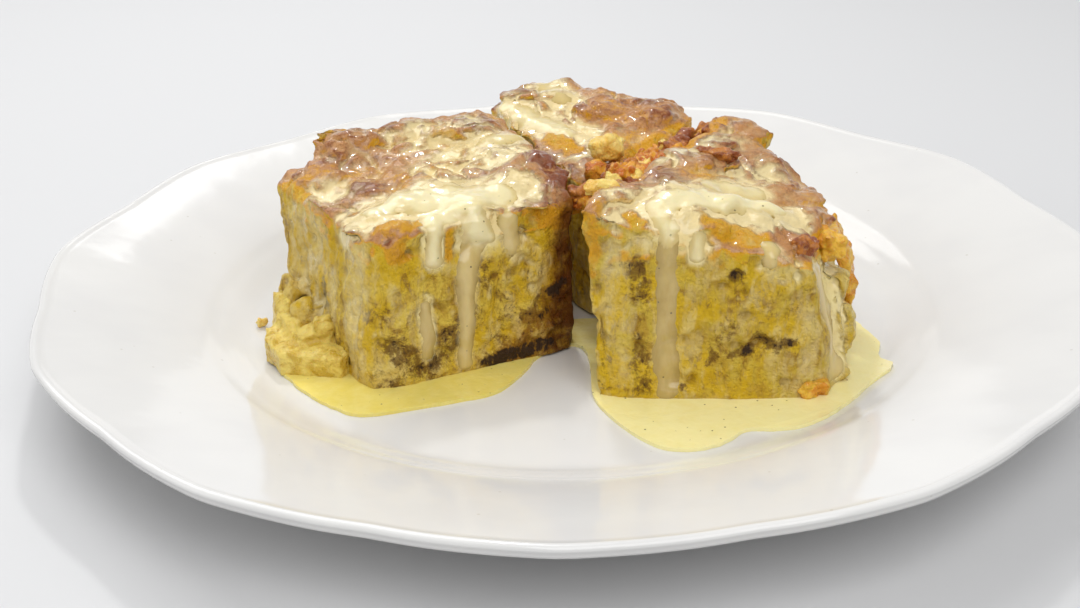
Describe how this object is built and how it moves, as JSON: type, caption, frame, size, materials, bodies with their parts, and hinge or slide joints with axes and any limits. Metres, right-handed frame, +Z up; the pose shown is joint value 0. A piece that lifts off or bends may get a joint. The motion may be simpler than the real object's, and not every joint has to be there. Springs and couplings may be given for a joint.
{
  "type": "plated bread pudding",
  "caption": "Cut squares of bread pudding with toasted tops in a thin custard sauce, served on a round dinner plate with a scalloped rim.",
  "frame": {"origin": "on the table under the plate's centre", "axes": "+Z up from the table, -Y towards the near side of the plate, +X to the right of it"},
  "size_m": [0.2724, 0.2724, 0.0534],
  "materials": {
    "plate_glaze": "white glazed stoneware, glossy",
    "custard_sauce": "wet pale yellow custard sauce",
    "soaked_bread": "moist yellow bread crumb with brown cinnamon streaks",
    "toasted_crust": "toasted golden to brown bread crust, part wet with sauce"
  },
  "bodies": {
    "root": {"plate": "plate_glaze", "sauce_pool": "custard_sauce", "left_square": "soaked_bread", "back_square": "soaked_bread", "right_square": "soaked_bread", "torn_middle": "soaked_bread", "yellow_lump": "soaked_bread", "orange_lump": "toasted_crust", "amber_lump": "toasted_crust", "dark_lump": "toasted_crust", "peaked_lump": "toasted_crust", "slipped_slab": "soaked_bread", "peeled_crust": "toasted_crust"}
  },
  "joints": []
}
